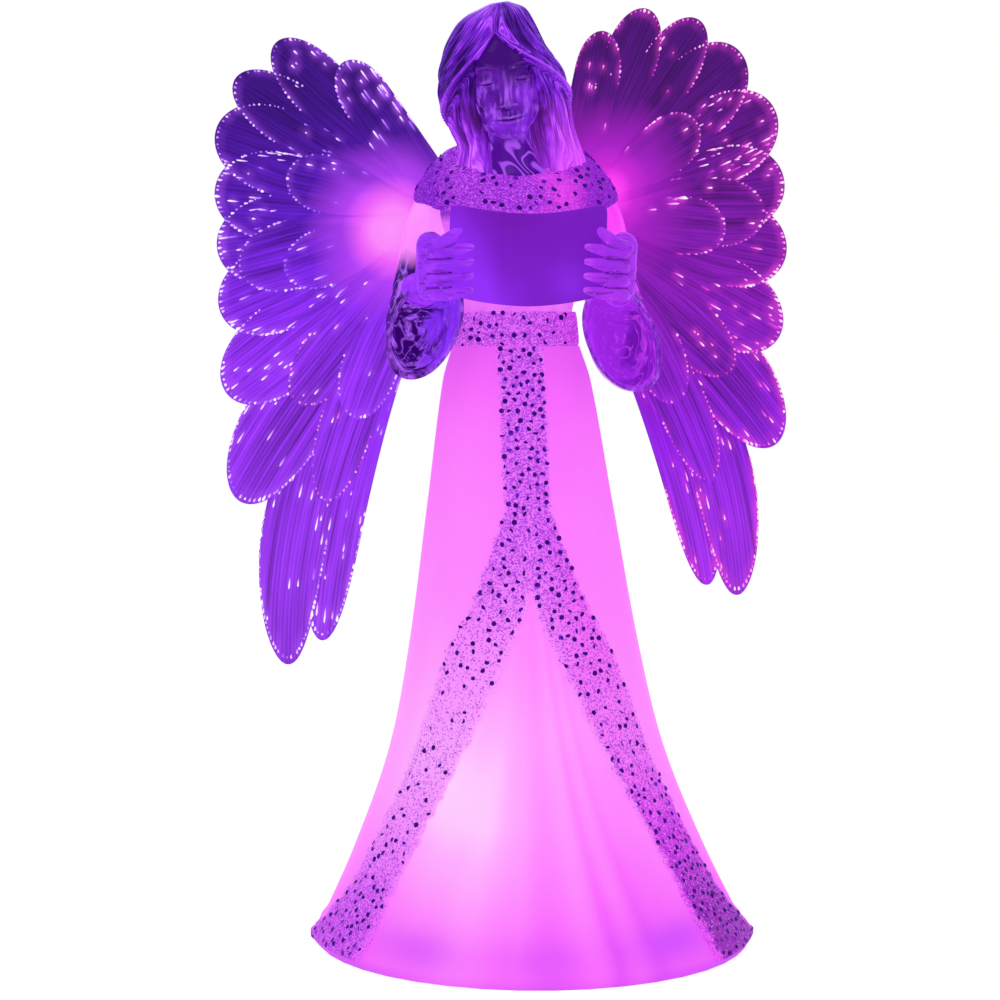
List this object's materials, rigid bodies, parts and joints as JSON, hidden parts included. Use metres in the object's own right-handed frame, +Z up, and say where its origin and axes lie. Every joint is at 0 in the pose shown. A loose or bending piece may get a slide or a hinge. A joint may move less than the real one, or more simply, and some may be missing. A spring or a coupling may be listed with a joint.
{
  "type": "light-up angel figurine",
  "caption": "Standing angel with a lit hollow skirt, clear upper body holding an open book, glitter trim and turning fibre feather wings on a battery base.",
  "frame": {"origin": "middle of the base's underside", "axes": "+Z up, the figure faces -Y, and its left hand side as seen from the front is -X"},
  "size_m": [0.2062, 0.1614, 0.317],
  "materials": {
    "frosted": "frosted, lit from inside",
    "clear_violet": "clear, polished",
    "glitter": "glitter grains and small dark flakes",
    "fibre": "fine light fibres in a sheet, bright at the cut ends",
    "book_frost": "satin",
    "white_plastic": "satin",
    "dark_plastic": "satin",
    "steel": "plated",
    "cell": "plain printed sleeve",
    "board": "lacquered",
    "lamp": "clear, lit"
  },
  "bodies": {
    "figure": {"base_plate": "frosted", "skirt_shell": "frosted", "torso_front": "clear_violet", "torso_back": "clear_violet", "head": "clear_violet", "hair": "clear_violet", "left_sleeve": "clear_violet", "right_sleeve": "clear_violet", "left_hand": "clear_violet", "right_hand": "clear_violet", "belt": "glitter", "collar": "glitter", "front_placket": "glitter", "left_front_band": "glitter", "right_front_band": "glitter", "book_cover": "book_frost", "book_pages": "book_frost", "battery_tray": "white_plastic", "wing_bracket": "white_plastic", "switch_body": "dark_plastic", "wing_lead": "dark_plastic", "left_contact": "steel", "right_contact": "steel", "base_screw_1": "steel", "base_screw_2": "steel", "base_screw_3": "steel", "base_screw_4": "steel", "battery_1": "cell", "battery_2": "cell", "battery_3": "cell", "circuit_board": "board", "skirt_lamp_1": "lamp", "skirt_lamp_2": "lamp", "skirt_lamp_3": "lamp", "left_wing_lamp": "lamp", "right_wing_lamp": "lamp"},
    "left_wing": {"left_wing_hub": "white_plastic", "left_feather_fan": "fibre", "left_upper_long_feather": "fibre", "left_middle_long_feather": "fibre", "left_lower_long_feather": "fibre", "left_shoulder_covert": "fibre", "left_hanging_covert": "fibre", "left_wide_covert": "fibre", "left_trailing_covert": "fibre", "left_short_covert": "fibre", "left_inner_covert": "fibre"},
    "right_wing": {"right_wing_hub": "white_plastic", "right_feather_fan": "fibre", "right_upper_long_feather": "fibre", "right_middle_long_feather": "fibre", "right_lower_long_feather": "fibre", "right_shoulder_covert": "fibre", "right_hanging_covert": "fibre", "right_wide_covert": "fibre", "right_trailing_covert": "fibre", "right_short_covert": "fibre", "right_inner_covert": "fibre"},
    "battery_door": {"battery_door": "white_plastic"},
    "switch_slider": {"switch_slider": "dark_plastic"}
  },
  "joints": [
    {"name": "left_wing_turn", "type": "hinge", "parent": "figure", "child": "left_wing", "pos_m": [-0.0254, 0.032, 0.24495], "axis": [-0.4226, -0.9063, 0], "range_deg": [-6, 6]},
    {"name": "right_wing_turn", "type": "hinge", "parent": "figure", "child": "right_wing", "pos_m": [0.0146, 0.032, 0.24495], "axis": [0.4226, -0.9063, 0], "range_deg": [-6, 6]},
    {"name": "battery_door_swing", "type": "hinge", "parent": "figure", "child": "battery_door", "pos_m": [0, 0.0109, 0.0019], "axis": [-1, 0, 0], "range_deg": [0, 90]},
    {"name": "switch_slide", "type": "slide", "parent": "figure", "child": "switch_slider", "axis": [1, 0, 0], "range_m": [0, 0.003]}
  ]
}
